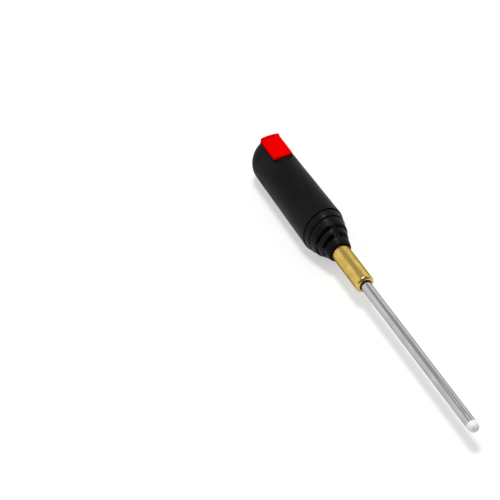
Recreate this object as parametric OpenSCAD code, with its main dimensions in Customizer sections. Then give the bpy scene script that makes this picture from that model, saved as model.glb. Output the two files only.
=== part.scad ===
// Pinpointer probe: an oval barrel with a thumb button, a stepped nose, a brass ferrule
// and a thin steel probe tube with a search coil in its tip.
// The probe lies level on its flat belly: +X towards the tip, +Z up through the button.
// Stations are measured along X from the shoulder, heights from the probe's axis.

/* [Barrel] */
// Width of the barrel's oval section at the shoulder
barrel_w = 29; // [28:0.5:31]
// Height of that section before the belly is cut flat
barrel_h = 36; // [35:0.5:38]
// Length of the barrel from the shoulder to the rear tip
barrel_l = 85; // [85:1:90]
// Size of the section where the rear dome starts, as a share of the shoulder's
rear_share = 0.93; // [0.92:0.01:1]
// Radius of the rounding at the rear dome
dome_r = 12; // [11:0.5:12]
// Depth of the flat belly below the axis
belly_drop = 15.8; // [15.6:0.1:16]
// Wall of the barrel's shells
wall = 2; // [1.8:0.1:2.1]
// Station of the seam between the shells and the rear cap
cap_seam = -78.5; // [-78.5:0.5:-78]

/* [Nose] */
// Stations where the nose's ribs start
rib_x0 = [0.6, 6, 13.3, 19.2];
// Stations where the ribs end
rib_x1 = [5.4, 11.3, 16.5, 23.4];
// Widths of the ribs at their rear ends
rib_w0 = [27.9, 25.8, 21.2, 17.6];
// Widths of the ribs at their front ends
rib_w1 = [26.6, 23.6, 19.4, 15.6];
// Width of the webs that bridge the two deep grooves
web_w = 3.2; // [2.4:0.1:4]
// Radius of the floor of the deep grooves
groove_r = 7; // [6.9:0.1:7.2]

/* [Ferrule and tube] */
// Outer radius of the brass ferrule
ferrule_r = 6.2; // [6:0.1:6.3]
// Length of the ferrule in front of the nose
ferrule_l = 33.6; // [30:0.1:38]
// Outer radius of the probe tube
tube_r = 3.5; // [3.3:0.1:3.6]
// Wall of the probe tube
tube_wall = 0.4; // [0.3:0.1:0.5]
// Length of the tube in front of the ferrule
tube_l = 128.2; // [100:0.1:130]
// Length of the tip cap in front of the tube
tip_l = 5.8; // [5:0.1:8]

/* [Thumb button] */
// Length of the thumb button along the barrel
button_l = 22; // [20:0.5:22]
// Width of the thumb button
button_w = 13.6; // [12:0.2:13.6]
// Height of the button's flat top above the axis
button_top = 18.7; // [18.5:0.1:19]
// Thickness of the button's pad
button_t = 2; // [1.8:0.1:2]
// Height of the lip at the button's rear end
lip_h = 1.1; // [0.8:0.1:1.4]
// Press travel of the button
button_travel = 0.6; // [0.4:0.1:0.6]

/* [Battery] */
// Radius of the battery cell
cell_r = 7.1; // [7:0.05:7.1]
// Length of the battery cell
cell_l = 50.5; // [50:0.1:50.5]
// Height of the cell's axis
cell_z = -3.4; // [-3.4:0.1:-3]

/* [Electronics] */
// Length of the circuit board
board_l = 60; // [58:0.5:60]
// Width of the circuit board
board_w = 18; // [17:0.5:18]
// Thickness of the circuit board
board_t = 1.2; // [1:0.1:1.2]
// Height of the board's underside
board_z = 6.4; // [6.2:0.1:6.4]

/* [Hidden] */

$fn = 64;
eps = 0.01;
slip = 0.1;
running = 0.05;

last_rib = len(rib_x0) - 1;
nose_l = rib_x1[last_rib];
ferrule_end = nose_l + ferrule_l;
tube_end = ferrule_end + tube_l;
tip_end = tube_end + tip_l;
shoulder_x = (barrel_l - tip_end) / 2;
dome_start = dome_r - barrel_l;
oval_share = barrel_h / barrel_w;

// Ring of points of an oval, counter-clockwise seen from the tip
oval_steps = 48;
function oval_ring(x, half_w, half_h) = [
    for (i = [0 : oval_steps - 1])
        [x, half_w * cos(360 * i / oval_steps), half_h * sin(360 * i / oval_steps)]
];

// Faces of a solid through rings of points: rear end, sides, front end
function skin_faces(rings, steps) = concat(
    [[for (i = [0 : steps - 1]) i]],
    [for (r = [0 : rings - 2]) for (i = [0 : steps - 1]) let (j = (i + 1) % steps)
        [r * steps + i, (r + 1) * steps + i, (r + 1) * steps + j, r * steps + j]],
    [[for (i = [steps - 1 : -1 : 0]) (rings - 1) * steps + i]]
);

module loft(rings) {
    polyhedron([for (ring = rings) each ring], skin_faces(len(rings), len(rings[0])));
}

// Half sizes of the barrel at a station: a straight taper, then the dome's quarter round
function taper(x) = 1 - (1 - rear_share) * min(-x, -dome_start) / -dome_start;
function dome_inset(x) = x >= dome_start ? 0 : dome_r - sqrt(pow(dome_r, 2) - pow(dome_start - x, 2));
function barrel_ring(x, inset) = oval_ring(
    x,
    barrel_w / 2 * taper(x) - dome_inset(x) - inset,
    barrel_h / 2 * taper(x) - dome_inset(x) - inset
);
dome_steps = 8;
function dome_station(k) = dome_start - dome_r * sin(90 * k / dome_steps);

// Everything is drawn from the shoulder and the axis, then set on the belly
module placed() {
    translate([shoulder_x, 0, belly_drop])
        children();
}

// A box between two corners
module span(low, high) {
    translate(low)
        cube(high - low);
}

// A cylinder along X between two stations
module rod(x0, x1, r, y = 0, z = 0) {
    translate([x0, y, z])
        rotate([0, 90, 0])
            cylinder(h = x1 - x0, r = r);
}

// A cylinder along Z between two heights
module post(x, y, z0, z1, r) {
    translate([x, y, z0])
        cylinder(h = z1 - z0, r = r);
}

// A profile of [radius, station] points spun about the axis
module spun(profile) {
    rotate([0, 90, 0])
        rotate_extrude()
            polygon(profile);
}

// A round ring of wire about an axis along X
module wire_ring(x, ring_r, wire_r, z = 0) {
    translate([x, 0, z])
        rotate([0, 90, 0])
            rotate_extrude()
                translate([ring_r, 0])
                    circle(r = wire_r, $fn = 24);
}

// A coil of round wire about Z, its radius going evenly from r0 to r1
coil_sides = 6;
coil_steps = 14;
module coil(r0, r1, height, turns, wire_r) {
    rings = turns * coil_steps;
    loft([
        for (k = [rings : -1 : 0])
            let (a = 360 * k / coil_steps, share = k / rings, r = r0 + (r1 - r0) * share)
                [for (i = [0 : coil_sides - 1])
                    let (b = 360 * i / coil_sides, out = r + wire_r * cos(b))
                        [out * cos(a), out * sin(a), wire_r + (height - 2 * wire_r) * share + wire_r * sin(b)]]
    ]);
}

// --- Barrel ------------------------------------------------------------------

room = 40;
cavity_floor = wall - belly_drop;

module barrel_outside() {
    intersection() {
        loft(concat(
            [for (k = [dome_steps : -1 : 1]) barrel_ring(dome_station(k), 0)],
            [barrel_ring(dome_start, 0), barrel_ring(0, 0)]
        ));
        span([-barrel_l - 1, -room, -belly_drop], [room, room, room]);
    }
}

module barrel_cavity() {
    intersection() {
        loft([
            barrel_ring(cap_seam - 1, wall),
            barrel_ring((cap_seam + dome_start) / 2, wall),
            barrel_ring(dome_start, wall),
            oval_ring(1, barrel_w / 2 - wall, barrel_h / 2 - wall)
        ]);
        span([-barrel_l, -room, cavity_floor], [room, room, room]);
    }
}

pedestal_x0 = cap_seam + slip;
pedestal_x1 = cap_seam + button_l;
corner_r = 1;

// An upright block with rounded corners over the pedestal's footprint
module footprint_block(grow, z0, z1) {
    w = button_w / 2 + grow;
    x0 = pedestal_x0 - grow;
    x1 = pedestal_x1 + grow;
    r = corner_r + grow;
    span([x0 + r, -w, z0], [x1 - r, w, z1]);
    span([x0, r - w, z0], [x1, w - r, z1]);
    for (x = [x0 + r, x1 - r])
        for (y = [r - w, w - r])
            post(x, y, z0, z1, r);
}

post_x = [-52, -15];
post_y = 6;
post_r = 1.7;
post_pilot = 0.75;
board_top = board_z + board_t;

module upper_shell() {
    color([0.09, 0.09, 0.1])
        placed()
            difference() {
                intersection() {
                    barrel_outside();
                    union() {
                        difference() {
                            span([cap_seam, -room, 0], [0, room, room]);
                            barrel_cavity();
                        }
                        for (x = post_x)
                            for (y = [-post_y, post_y])
                                post(x, y, board_top, barrel_h / 2, post_r);
                    }
                }
                footprint_block(slip, wall, room);
                for (x = post_x)
                    for (y = [-post_y, post_y])
                        post(x, y, board_top - 1, board_top + 4, post_pilot);
            }
}

screw_x = -4.5;
screw_y = 6;
screw_r = 1.1;
screw_head_r = 2.1;
screw_pad = 0.8;
screw_seat = -13.6;
slot_w = 1.2;
slot_h = 5;
slot_pitch = 3;
slot_x = -66;
slot_count = 4;
slot_z = -3.4;

module lower_shell() {
    color([0.09, 0.09, 0.1])
        placed()
            difference() {
                union() {
                    intersection() {
                        barrel_outside();
                        difference() {
                            span([cap_seam, -room, -room], [0, room, 0]);
                            barrel_cavity();
                        }
                    }
                    // Low pads that carry the flat belly out round the screw heads
                    for (y = [-screw_y, screw_y])
                        post(screw_x, y, -belly_drop, cavity_floor - 0.1, screw_head_r + screw_pad);
                }
                for (y = [-screw_y, screw_y]) {
                    post(screw_x, y, -room, screw_seat - 1.2, screw_head_r + slip);
                    post(screw_x, y, -room, 0, screw_r + slip);
                }
                for (i = [0 : slot_count - 1])
                    translate([slot_x + i * slot_pitch, 0, 0])
                        span([0, -room, slot_z - slot_h / 2], [slot_w, -cell_r, slot_z + slot_h / 2]);
            }
}

spigot_bore_r = 9.2;
spigot_z = -3;
spigot_l = 4.4;
collar_l = 4;
collar_top = 12.4;

module rear_collar() {
    color([0.12, 0.12, 0.13])
        placed()
            difference() {
                intersection() {
                    loft([
                        barrel_ring(cap_seam + slip, wall + slip),
                        barrel_ring(cap_seam + collar_l, wall + slip)
                    ]);
                    span([-barrel_l, -room, cavity_floor + slip], [0, room, collar_top]);
                }
                rod(-barrel_l, 0, spigot_bore_r, 0, spigot_z);
            }
}

spigot_r = spigot_bore_r - running;
spigot_wall = 1.3;
cap_recess_x = -81.5;
seal_wire = 0.55;
seal_x = cap_seam + 2.2;

module rear_cap() {
    color([0.09, 0.09, 0.1])
        placed()
            difference() {
                union() {
                    intersection() {
                        barrel_outside();
                        span([-barrel_l - 1, -room, -room], [cap_seam - slip, room, room]);
                    }
                    rod(cap_seam - 1, cap_seam + spigot_l, spigot_r, 0, spigot_z);
                }
                rod(cap_recess_x, 0, spigot_r - spigot_wall, 0, spigot_z);
                difference() {
                    rod(seal_x - seal_wire, seal_x + seal_wire, spigot_r + 1, 0, spigot_z);
                    rod(seal_x - seal_wire - 1, seal_x + seal_wire + 1, spigot_r - 2 * seal_wire + running, 0, spigot_z);
                }
            }
}

module cap_seal() {
    color([0.16, 0.15, 0.15])
        placed()
            wire_ring(seal_x, spigot_r - seal_wire + running / 2, seal_wire - running / 2, spigot_z);
}

// --- Nose --------------------------------------------------------------------

nose_spigot_l = 9;
stem_bore_r = 5.6;
ferrule_back = 9;
wire_bore_r = 4;
nose_fit = 0.15;

// Height of a nose section of a given width: oval at the shoulder, round at the collar
round_w = rib_w1[last_rib];
function nose_share(w) = 1 + (oval_share - 1) * sqrt(max(0, w - round_w) / (barrel_w - round_w));
function nose_ring(x, w) = oval_ring(x, w / 2, w / 2 * nose_share(w));

module rib(i) {
    loft([nose_ring(rib_x0[i], rib_w0[i]), nose_ring(rib_x1[i], rib_w1[i])]);
}

// Webs on the top, bottom and side lines, flush with the ribs that they join
module webs() {
    intersection() {
        loft([
            nose_ring(rib_x1[1] - 1, rib_w1[1]),
            nose_ring(rib_x0[2], rib_w0[2]),
            nose_ring(rib_x1[2], rib_w1[2]),
            nose_ring(rib_x0[3] + 0.5, rib_w0[3])
        ]);
        union() {
            span([0, -web_w / 2, -room], [nose_l, web_w / 2, room]);
            span([0, -room, -web_w / 2], [nose_l, room, web_w / 2]);
        }
    }
}

module nose_spigot() {
    half_w = barrel_w / 2 - wall - nose_fit;
    half_h = barrel_h / 2 - wall - nose_fit;
    shrink = nose_spigot_l * (1 - rear_share) / -dome_start;
    intersection() {
        loft([
            oval_ring(-nose_spigot_l, half_w * (1 - shrink), half_h * (1 - shrink)),
            oval_ring(eps, half_w, half_h)
        ]);
        span([-room, -room, cavity_floor + nose_fit], [room, room, room]);
    }
}

socket_gap = 5;
oring_x = 12;
oring_wire = 0.7;

module stepped_nose() {
    color([0.08, 0.08, 0.09])
        placed()
            difference() {
                union() {
                    intersection() {
                        union() {
                            loft([nose_ring(0, rib_w0[0] - 2), nose_ring(rib_x1[1], rib_w1[1] - 2)]);
                            for (i = [0 : last_rib])
                                rib(i);
                            webs();
                        }
                        span([0, -room, -belly_drop], [room, room, room]);
                    }
                    rod(rib_x0[1], nose_l - 1, groove_r);
                    nose_spigot();
                }
                rod(ferrule_back, room, stem_bore_r + running);
                rod(-room, room, wire_bore_r);
                span([-room, -socket_gap, -belly_drop], [-1, socket_gap, board_z]);
                for (y = [-screw_y, screw_y])
                    post(screw_x, y, -room, 2, screw_r - slip);
                wire_ring(oring_x, stem_bore_r, oring_wire);
            }
}

module nose_screws() {
    color([0.62, 0.63, 0.65])
        placed()
            for (y = [-screw_y, screw_y])
                translate([screw_x, y, screw_seat - 1.2])
                    difference() {
                        union() {
                            cylinder(h = 13, r = screw_r - slip);
                            translate([0, 0, -0.9])
                                cylinder(h = 0.9, r = screw_head_r);
                        }
                        translate([0, 0, -1])
                            cylinder(h = 0.7, r = 1, $fn = 6);
                    }
}

module ferrule_seal() {
    color([0.16, 0.15, 0.15])
        placed()
            wire_ring(oring_x, stem_bore_r, oring_wire - slip / 2);
}

// --- Ferrule, tube and tip ---------------------------------------------------

bush_r = 4.8;
front_round = 2.1;
lip_back = 2;

module brass_ferrule() {
    round_steps = 6;
    color([0.79, 0.6, 0.27])
        placed()
            difference() {
                spun(concat(
                    [[0, ferrule_back], [stem_bore_r, ferrule_back], [stem_bore_r, nose_l], [ferrule_r - 0.3, nose_l]],
                    [[ferrule_r, nose_l + 0.3]],
                    [for (k = [0 : round_steps]) let (a = 90 * k / round_steps)
                        [ferrule_r - front_round * (1 - cos(a)), ferrule_end - front_round * (1 - sin(a))]],
                    [[0, ferrule_end]]
                ));
                rod(0, ferrule_end - lip_back, bush_r);
                rod(0, tube_end, ferrule_r - front_round);
                wire_ring(oring_x, stem_bore_r, oring_wire);
            }
}

module ferrule_bush() {
    color([0.1, 0.1, 0.11])
        placed()
            difference() {
                rod(ferrule_back + 2, ferrule_end - lip_back, bush_r);
                rod(0, tube_end, tube_r);
            }
}

tube_back = 13;

module probe_tube() {
    color([0.68, 0.7, 0.72])
        placed()
            difference() {
                rod(tube_back, tube_end, tube_r);
                rod(0, tip_end, tube_r - tube_wall);
            }
}

module tip_cap() {
    plug_r = tube_r - tube_wall;
    round_steps = 10;
    color([0.93, 0.93, 0.9])
        placed()
            spun(concat(
                [[0, tube_end - 4], [plug_r, tube_end - 4], [plug_r, tube_end], [tube_r, tube_end]],
                [for (k = [0 : round_steps]) let (a = 90 * k / round_steps)
                    [tube_r * cos(a), tip_end - tube_r * (1 - sin(a))]]
            ));
}

rod_r = 1.5;
rod_l = 22;
rod_end = tube_end - 5;
bobbin_r = 1.9;
flange_r = 2.9;
flange_t = 1;
coil_r = 2.6;

module ferrite_rod() {
    color([0.2, 0.2, 0.22])
        placed()
            rod(rod_end - rod_l, rod_end, rod_r);
}

module coil_bobbin() {
    color([0.85, 0.8, 0.66])
        placed()
            difference() {
                union() {
                    rod(rod_end - rod_l + 1, rod_end - 1, bobbin_r);
                    rod(rod_end - rod_l + 1, rod_end - rod_l + 1 + flange_t, flange_r);
                    rod(rod_end - 1 - flange_t, rod_end - 1, flange_r);
                }
                rod(0, tip_end, rod_r);
            }
}

module search_coil() {
    color([0.72, 0.4, 0.2])
        placed()
            difference() {
                rod(rod_end - rod_l + 1 + flange_t, rod_end - 1 - flange_t, coil_r);
                rod(0, tip_end, bobbin_r);
            }
}

lead_r = 0.45;
lead_y = 0.8;
socket_x = -16;
socket_l = 4;

module coil_leads() {
    color([0.75, 0.2, 0.15])
        placed()
            for (y = [-lead_y, lead_y])
                rod(socket_x + socket_l, rod_end - rod_l, lead_r, y);
}

module lead_socket() {
    color([0.9, 0.88, 0.82])
        placed()
            span([socket_x, -3, -2], [socket_x + socket_l, 3, board_z]);
}

// --- Thumb button and switch -------------------------------------------------

press_gap = 0.2;
button_z = button_top - button_t;
pedestal_top = button_z - button_travel - press_gap;
pedestal_z = 12.8;
switch_x = (pedestal_x0 + pedestal_x1) / 2;
stem_r = 1.4;
stem_hole_r = stem_r + running;
well_r = 3;
well_floor = pedestal_z + 0.8;

module button_pedestal() {
    color([0.08, 0.08, 0.09])
        placed()
            difference() {
                footprint_block(0, pedestal_z, pedestal_top);
                post(switch_x, 0, well_floor, room, well_r);
                post(switch_x, 0, 0, room, stem_hole_r);
            }
}

plunger_top = 12.4;
lip_l = 2.6;
bevel = 0.6;

// Side outline of the button: flat top, hollow rise to a rounded lip at the rear
module button_side() {
    lip_top = button_top + lip_h;
    hollow_r = (pow(lip_l, 2) + pow(lip_h, 2)) / (2 * lip_h);
    hollow_steps = 6;
    hollow_end = asin(lip_l / hollow_r);
    polygon(concat(
        [[pedestal_x0, button_z], [pedestal_x0, lip_top - 0.4], [pedestal_x0 + 0.4, lip_top]],
        [for (k = [0 : hollow_steps]) let (a = hollow_end * (1 - k / hollow_steps))
            [pedestal_x0 + 1 + lip_l - hollow_r * sin(a), button_top + hollow_r * (1 - cos(a))]],
        [[pedestal_x1 - bevel, button_top], [pedestal_x1, button_top - bevel], [pedestal_x1, button_z]]
    ));
}

module thumb_button() {
    color([0.85, 0.06, 0.05])
        placed() {
            intersection() {
                footprint_block(-slip, button_z, room);
                rotate([90, 0, 0])
                    linear_extrude(height = button_w, center = true)
                        button_side();
            }
            post(switch_x, 0, plunger_top + slip, button_z + eps, stem_r);
        }
}

spring_r = 2.2;
spring_wire = 0.25;
spring_turns = 3;

module button_spring() {
    color([0.7, 0.71, 0.73])
        placed()
            translate([switch_x, 0, well_floor])
                coil(spring_r, spring_r, button_z - well_floor, spring_turns, spring_wire);
}

switch_half = 3;
switch_top = 11.4;
plunger_r = 1.6;
plunger_seat = 10.2;

module switch_body() {
    color([0.22, 0.22, 0.24])
        placed()
            difference() {
                span([switch_x - switch_half, -switch_half, board_top], [switch_x + switch_half, switch_half, switch_top]);
                post(switch_x, 0, plunger_seat - button_travel - press_gap, room, plunger_r + running);
            }
}

module switch_plunger() {
    color([0.75, 0.72, 0.65])
        placed()
            post(switch_x, 0, plunger_seat, plunger_top, plunger_r);
}

// --- Circuit board and what it carries ---------------------------------------

board_x0 = -72;
board_x1 = board_x0 + board_l;

module circuit_board() {
    color([0.1, 0.35, 0.18])
        placed()
            difference() {
                span([board_x0, -board_w / 2, board_z], [board_x1, board_w / 2, board_top]);
                for (x = post_x)
                    for (y = [-post_y, post_y])
                        post(x, y, 0, room, post_pilot + slip);
            }
}

module board_screws() {
    color([0.66, 0.67, 0.69])
        placed()
            for (x = post_x)
                for (y = [-post_y, post_y]) {
                    post(x, y, board_z - 0.9, board_z, 1.4);
                    post(x, y, board_z - eps, board_top + 3.5, post_pilot);
                }
}

chip_x = -44;
chip_l = 9;
chip_w = 5;
chip_t = 1.5;
leg_count = 7;
leg_w = 0.5;

module control_chip() {
    pitch = chip_l / leg_count;
    color([0.14, 0.14, 0.15])
        placed() {
            span([chip_x, -chip_w / 2, board_top + 0.2], [chip_x + chip_l, chip_w / 2, board_top + 0.2 + chip_t]);
            for (i = [0 : leg_count - 1])
                translate([chip_x + pitch * (i + 0.5) - leg_w / 2, 0, 0])
                    span([0, -chip_w / 2 - 1, board_top], [leg_w, chip_w / 2 + 1, board_top + 0.4]);
        }
}

module small_parts() {
    part_l = 2;
    part_w = 1.2;
    part_t = 0.8;
    first_x = -46.5;
    pitch = 3.6;
    color([0.72, 0.62, 0.45])
        placed()
            for (i = [0 : 5])
                for (side = [-1, 1])
                    translate([first_x + i * pitch, side * 7 - part_w / 2, board_top])
                        cube([part_l, part_w, part_t]);
}

module capacitors() {
    can_x = -22;
    can_r = 2.4;
    can_h = 5;
    color([0.55, 0.56, 0.6])
        placed()
            for (y = [-3.4, 3.4])
                post(can_x, y, board_top, board_top + can_h, can_r);
}

trimmer_x = -30.5;
trimmer_half = 3.2;
trimmer_h = 3.6;
trimmer_r = 2;
rotor_sink = 1.4;

module trimmer_body() {
    color([0.16, 0.3, 0.55])
        placed()
            difference() {
                span(
                    [trimmer_x - trimmer_half, -trimmer_half, board_top],
                    [trimmer_x + trimmer_half, trimmer_half, board_top + trimmer_h]
                );
                post(trimmer_x, 0, board_top + trimmer_h - rotor_sink, room, trimmer_r + running);
            }
}

module trimmer_rotor() {
    rotor_z = board_top + trimmer_h - rotor_sink + running;
    rotor_h = 1.9;
    groove_w = 0.6;
    color([0.85, 0.83, 0.75])
        placed()
            difference() {
                post(trimmer_x, 0, rotor_z, rotor_z + rotor_h, trimmer_r);
                span(
                    [trimmer_x - trimmer_r, -groove_w / 2, rotor_z + rotor_h - 0.8],
                    [trimmer_x + trimmer_r, groove_w / 2, room]
                );
            }
}

// --- Buzzer and vibration motor ----------------------------------------------

buzzer_x = -61;
buzzer_r = 4.4;
buzzer_y = 8.2;
buzzer_t = 2.6;

module buzzer_disc(r, y0, y1) {
    translate([buzzer_x, -y0, 0])
        rotate([90, 0, 0])
            cylinder(h = y1 - y0, r = r);
}

module buzzer_case() {
    color([0.15, 0.15, 0.16])
        placed()
            difference() {
                buzzer_disc(buzzer_r, buzzer_y, buzzer_y + buzzer_t);
                buzzer_disc(buzzer_r - 0.6, buzzer_y + 0.8, buzzer_y + buzzer_t + 1);
            }
}

module piezo_disc() {
    color([0.8, 0.68, 0.36])
        placed()
            buzzer_disc(buzzer_r - 0.6, buzzer_y + 1.4, buzzer_y + 1.7);
}

motor_z = -8.2;
motor_r = 3;
motor_x0 = -20.5;
motor_x1 = -11;
shaft_r = 0.5;
weight_r = 2.7;
weight_l = 2.4;

module motor_clip() {
    color([0.12, 0.12, 0.13])
        placed()
            difference() {
                span([-19, -4.6, cavity_floor], [-12.5, 4.6, motor_z]);
                rod(-room, 0, motor_r, 0, motor_z);
            }
}

module motor_case() {
    color([0.7, 0.71, 0.73])
        placed()
            difference() {
                rod(motor_x0, motor_x1, motor_r, 0, motor_z);
                rod(-room, motor_x1 - 1, shaft_r + running, 0, motor_z);
            }
}

module motor_shaft() {
    color([0.6, 0.61, 0.63])
        placed()
            rod(motor_x0 - 0.5 - weight_l, motor_x1 - 1.2, shaft_r, 0, motor_z);
}

module motor_weight() {
    color([0.5, 0.5, 0.52])
        placed()
            difference() {
                rod(motor_x0 - 0.4 - weight_l, motor_x0 - 0.4, weight_r, 0, motor_z);
                span([-room, -weight_r, motor_z + shaft_r + 0.3], [0, weight_r, motor_z + weight_r]);
                rod(-room, 0, shaft_r, 0, motor_z);
            }
}

// --- Battery -----------------------------------------------------------------

cell_x1 = -25;
cell_x0 = cell_x1 - cell_l;
cradle_x0 = -72;
cradle_r = 8.6;
cradle_foot = 3.6;
foot_pitch = 11.5;
cradle_top = -6.4;

module battery_cradle() {
    color([0.14, 0.14, 0.15])
        placed()
            difference() {
                intersection() {
                    union() {
                        rod(cradle_x0, cell_x1, cradle_r, 0, cell_z);
                        for (x = [cradle_x0 : foot_pitch : cell_x1])
                            span([x, -cradle_foot, cavity_floor], [x + 1, cradle_foot, cell_z]);
                    }
                    span([-barrel_l, -room, cavity_floor], [0, room, cradle_top]);
                }
                rod(-barrel_l, 0, cell_r + slip, 0, cell_z);
            }
}

terminal_r = 2.7;
terminal_l = 1.2;

module battery_cell() {
    color([0.2, 0.32, 0.55])
        placed() {
            rod(cell_x0, cell_x1 - terminal_l, cell_r, 0, cell_z);
            rod(cell_x1 - terminal_l - eps, cell_x1, terminal_r, 0, cell_z);
        }
}

contact_t = 0.4;

module front_contact() {
    color([0.76, 0.76, 0.74])
        placed() {
            span([cell_x1, -4, cell_z - 4], [cell_x1 + contact_t, 4, cell_z + 4]);
            span([cell_x1, -1.5, cell_z + 4 - eps], [cell_x1 + contact_t, 1.5, board_z]);
        }
}

contact_x = cap_seam + spigot_l + 0.2;

module rear_contact() {
    color([0.76, 0.76, 0.74])
        placed() {
            difference() {
                rod(contact_x, contact_x + contact_t, spigot_r, 0, spigot_z);
                rod(-barrel_l, 0, spigot_r - spigot_wall, 0, spigot_z);
            }
            span([contact_x, -1.5, spigot_z + spigot_r - 0.5], [contact_x + contact_t, 1.5, board_top]);
        }
}

module battery_spring() {
    color([0.7, 0.71, 0.73])
        placed()
            translate([cap_recess_x, 0, cell_z])
                rotate([0, 90, 0])
                    coil(5, 3, cell_x0 - cap_recess_x, 4, 0.4);
}

upper_shell();
lower_shell();
rear_collar();
rear_cap();
cap_seal();
stepped_nose();
nose_screws();
ferrule_seal();
brass_ferrule();
ferrule_bush();
probe_tube();
tip_cap();
ferrite_rod();
coil_bobbin();
search_coil();
coil_leads();
lead_socket();
button_pedestal();
thumb_button();
button_spring();
switch_body();
switch_plunger();
circuit_board();
board_screws();
control_chip();
small_parts();
capacitors();
trimmer_body();
trimmer_rotor();
buzzer_case();
piezo_disc();
motor_clip();
motor_case();
motor_shaft();
motor_weight();
battery_cradle();
battery_cell();
front_contact();
rear_contact();
battery_spring();
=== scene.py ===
"""Pinpointer probe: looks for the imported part. Sizes in the shape functions are millimetres,
stations run along X from the barrel's shoulder and heights run along Z from the probe's axis."""

import math

import bmesh
import bpy
import numpy as np
from mathutils import Matrix, Vector


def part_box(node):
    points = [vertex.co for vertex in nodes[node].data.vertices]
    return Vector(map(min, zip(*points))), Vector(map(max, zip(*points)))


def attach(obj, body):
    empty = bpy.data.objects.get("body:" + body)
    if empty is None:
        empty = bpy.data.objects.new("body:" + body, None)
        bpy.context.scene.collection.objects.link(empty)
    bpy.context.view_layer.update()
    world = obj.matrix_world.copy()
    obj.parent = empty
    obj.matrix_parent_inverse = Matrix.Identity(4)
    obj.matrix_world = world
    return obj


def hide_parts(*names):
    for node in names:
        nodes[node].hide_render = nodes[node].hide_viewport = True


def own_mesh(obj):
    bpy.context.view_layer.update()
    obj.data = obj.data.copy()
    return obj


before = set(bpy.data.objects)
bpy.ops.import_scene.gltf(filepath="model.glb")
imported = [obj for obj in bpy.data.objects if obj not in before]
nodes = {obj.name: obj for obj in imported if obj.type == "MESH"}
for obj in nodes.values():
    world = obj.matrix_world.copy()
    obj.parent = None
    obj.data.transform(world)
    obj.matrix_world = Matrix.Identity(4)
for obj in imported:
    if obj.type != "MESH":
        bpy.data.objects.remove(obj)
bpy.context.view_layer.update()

MM = 0.001
SHOULDER_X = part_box("upper_shell")[1].x
AXIS_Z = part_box("upper_shell")[0].z

HALF_WIDTH, HALF_HEIGHT = 14.5, 18.0  # the barrel at its shoulder
DOME_X, DOME_R = -73.0, 12.0  # where the rear end starts to close in, and its round
ROUND_WIDTH = 15.6  # the nose's width where its section has become a circle
BELLY = -AXIS_Z / MM  # height of the flat underside
BELLY_BEND = 0.22  # how gently the sides run into the flat
NO_FLOOR = -99.0  # a floor that no ring reaches
WALL = 2.0
SEAM = -78.5  # where the two halves end and the cap begins
CELL_Z = -3.0  # height of the battery cell's axis
SHARP_ANGLE = math.radians(33)


# --- Shape functions ---------------------------------------------------------


def barrel_half(x):
    """Half width and half height of the barrel: both shrink evenly by 7 percent from the shoulder
    to the dome's start, and from there a quarter round takes both in to the rear end."""
    taper = 1 + 0.07 * np.minimum(-x, -DOME_X) / DOME_X
    past = np.clip(DOME_X - x, 0, DOME_R)
    inset = DOME_R - np.sqrt(DOME_R**2 - past**2)
    return HALF_WIDTH * taper - inset, HALF_HEIGHT * taper - inset


def nose_half(width):
    """Half width and half height of a nose section: the height's share over the width falls with
    the square root of the width, from the shoulder's share down to 1 where the nose is round."""
    span = 2 * HALF_WIDTH - ROUND_WIDTH
    excess = HALF_HEIGHT / HALF_WIDTH - 1
    share = 1 + excess * np.sqrt(np.maximum(0, width - ROUND_WIDTH) / span)
    return width / 2, width / 2 * share


def settle(z, floor):
    """z where it is well above the floor and the floor where z is well below it, with a smooth
    bend between: floor + bend * log(1 + exp((z - floor) / bend))."""
    return floor + BELLY_BEND * np.logaddexp(0, (z - floor) / BELLY_BEND)


def oval(x, half_w, half_h, turn, centre_z=0.0, floor=BELLY):
    """Points of oval sections: y is half_w times cos(turn) and z is centre_z plus half_h times
    sin(turn), let down on the floor by settle."""
    z = settle(centre_z + half_h * np.sin(turn), floor)
    return np.stack(np.broadcast_arrays(x, half_w * np.cos(turn), z), -1)


def ring_path(x, half_w, half_h, centre_z=0.0, floor=BELLY):
    """Rows of oval rings for skin: station, half width, half height, centre's height and floor."""
    return np.stack(np.broadcast_arrays(x, half_w, half_h, centre_z, floor), -1)


def soften(path, cut, steps=5):
    """The path with each inner corner p replaced by the parabola (1-t)^2 a + 2t(1-t) p + t^2 b,
    where a and b lie on the two sides, cut away from p or 0.45 of a side if that is less."""
    path = np.asarray(path, float)
    t = np.linspace(0, 1, steps)[:, None]
    rows = [path[:1]]
    for before, p, after in zip(path[:-2], path[1:-1], path[2:]):
        back, on = before - p, after - p
        a = p + back * min(0.45, cut / max(1e-9, np.linalg.norm(back)))
        b = p + on * min(0.45, cut / max(1e-9, np.linalg.norm(on)))
        rows.append((1 - t) ** 2 * a + 2 * t * (1 - t) * p + t**2 * b)
    rows.append(path[-1:])
    return np.concatenate(rows)


def cell_faces(rows, columns, wrap_rows, wrap_columns):
    """Corner numbers of a grid's cells: point (i, j) is number i * columns + j, and a cell joins
    (i, j), (i+1, j), (i+1, j+1) and (i, j+1), counted round where the grid wraps."""
    i = np.arange(rows if wrap_rows else rows - 1)[:, None]
    j = np.arange(columns if wrap_columns else columns - 1)[None, :]
    row, next_row = i * columns, (i + 1) % rows * columns
    next_j = (j + 1) % columns
    quads = np.broadcast_arrays(row + j, next_row + j, next_row + next_j, row + next_j)
    return np.stack(quads, -1).reshape(-1, 4)


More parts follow.
